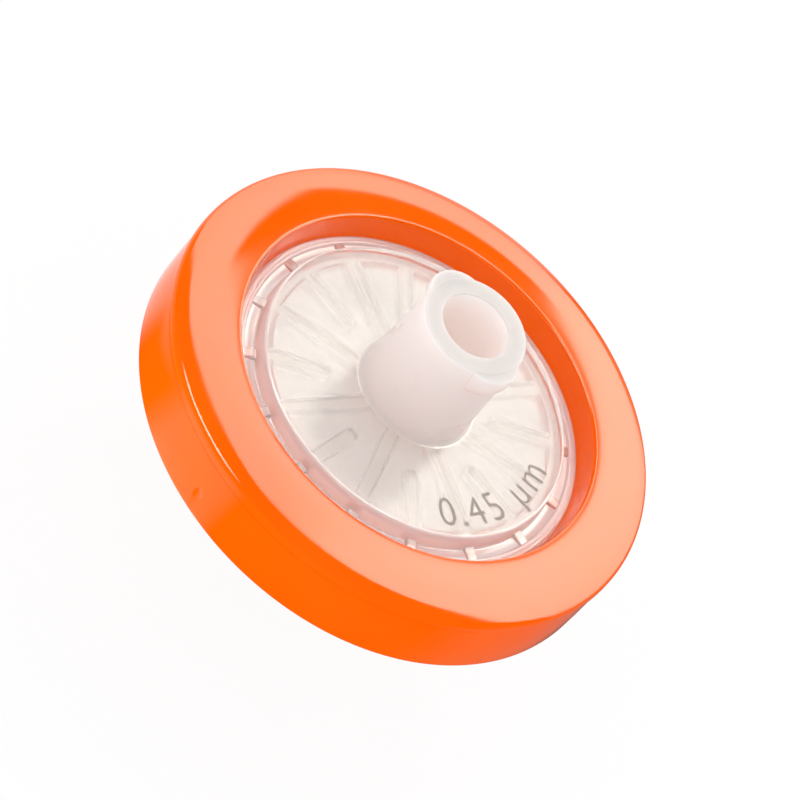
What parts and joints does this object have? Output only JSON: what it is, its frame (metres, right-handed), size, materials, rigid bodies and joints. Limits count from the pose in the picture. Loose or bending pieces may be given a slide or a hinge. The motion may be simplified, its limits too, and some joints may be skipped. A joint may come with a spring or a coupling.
{
  "type": "syringe filter",
  "caption": "Disc-shaped syringe filter: clear ribbed housings round a fibre membrane, sealed by an over-moulded ring, with a locking inlet port and a slip outlet tip.",
  "frame": {"origin": "centre of the outlet tip's end face, on the flow axis", "axes": "+Z along the flow axis from the outlet tip up to the inlet port, with the port's lugs centred 152 and 332 degrees anticlockwise from +X"},
  "size_m": [0.0312, 0.0312, 0.0234],
  "materials": {
    "clear_plastic": "natural polypropylene, translucent, smooth",
    "fibre": "white glass-fibre felt, dull",
    "ring_plastic": "glossy orange over-moulded polypropylene"
  },
  "bodies": {
    "root": {"inlet_housing": "clear_plastic", "outlet_housing": "clear_plastic", "membrane": "fibre", "sealing_ring": "ring_plastic"}
  },
  "joints": []
}
